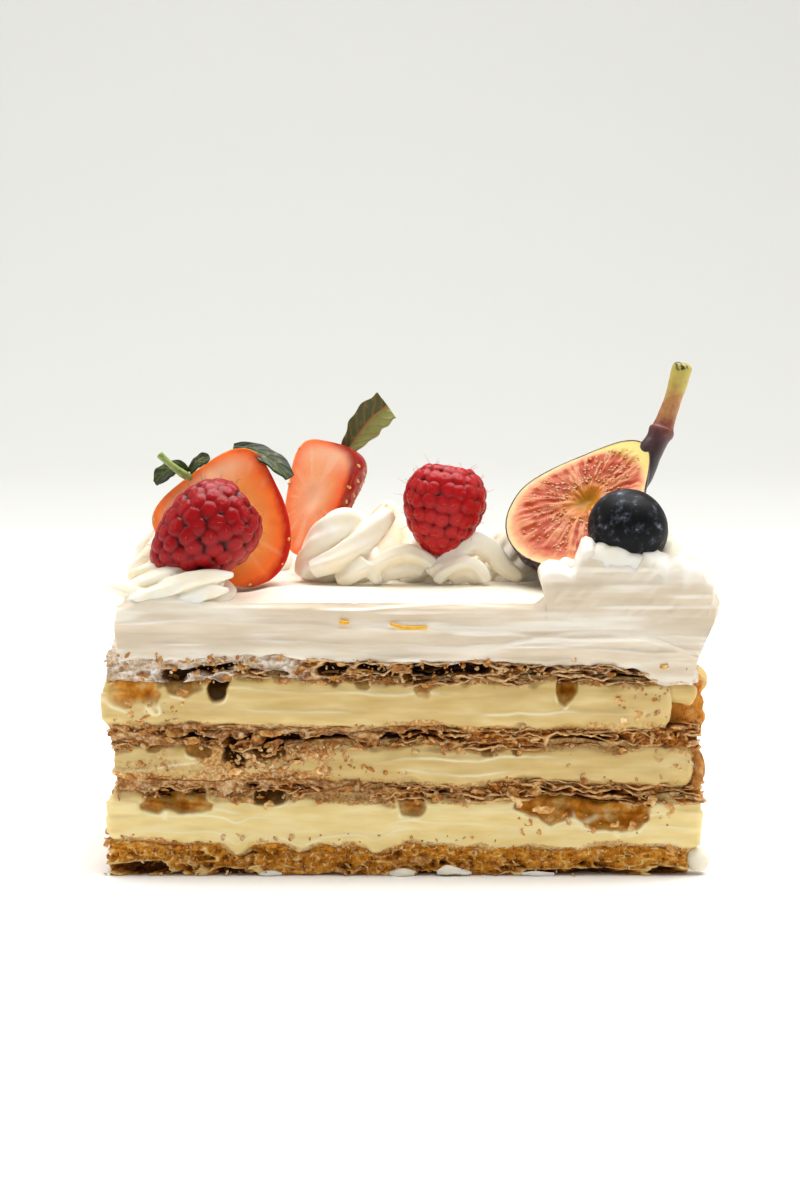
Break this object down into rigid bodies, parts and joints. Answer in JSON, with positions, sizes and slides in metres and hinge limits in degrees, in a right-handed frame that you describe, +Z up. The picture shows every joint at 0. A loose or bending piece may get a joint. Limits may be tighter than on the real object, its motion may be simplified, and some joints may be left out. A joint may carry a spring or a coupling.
{
  "type": "mille feuille slice",
  "caption": "Rectangular slice of layered puff pastry and custard cream under a whipped cream top with piped swirls, berries, strawberry halves and a fig half.",
  "frame": {"origin": "centre of the flat base, under the middle of the nominal slice", "axes": "+X along the slice towards the end with the fig and the blueberry, +Y from the cut front face to the back, +Z up"},
  "size_m": [0.1289, 0.0619, 0.1042],
  "materials": {
    "pastry": "baked puff pastry, dry and flaky",
    "custard": "custard cream, smooth and slightly moist",
    "whipped_cream": "whipped cream, soft and matte",
    "raspberry": "fresh berry, moist",
    "blueberry": "fresh berry with a waxy bloom",
    "strawberry": "fresh cut fruit, moist",
    "leaf": "fresh leaf",
    "fig": "fresh cut fruit, moist"
  },
  "bodies": {
    "root": {"blueberry": "blueberry", "custard_1": "custard", "custard_2": "custard", "custard_3": "custard", "fig_half": "fig", "pastry_end": "pastry", "pastry_sheet_1": "pastry", "pastry_sheet_2": "pastry", "pastry_sheet_3": "pastry", "pastry_sheet_4": "pastry", "raspberry_centre": "raspberry", "raspberry_left": "raspberry", "rosette_back_1": "whipped_cream", "rosette_back_2": "whipped_cream", "rosette_back_3": "whipped_cream", "rosette_back_4": "whipped_cream", "rosette_back_5": "whipped_cream", "rosette_back_6": "whipped_cream", "rosette_front_left": "whipped_cream", "rosette_front_right": "whipped_cream", "rosette_left": "whipped_cream", "rosette_middle": "whipped_cream", "rosette_middle_left": "whipped_cream", "rosette_middle_right": "whipped_cream", "rosette_right": "whipped_cream", "strawberry_back": "strawberry", "strawberry_back_leaf": "leaf", "strawberry_front": "strawberry", "strawberry_front_leaf": "leaf", "strawberry_front_leaf_left": "leaf", "strawberry_front_stalk": "leaf", "whipped_top": "whipped_cream"}
  },
  "joints": []
}
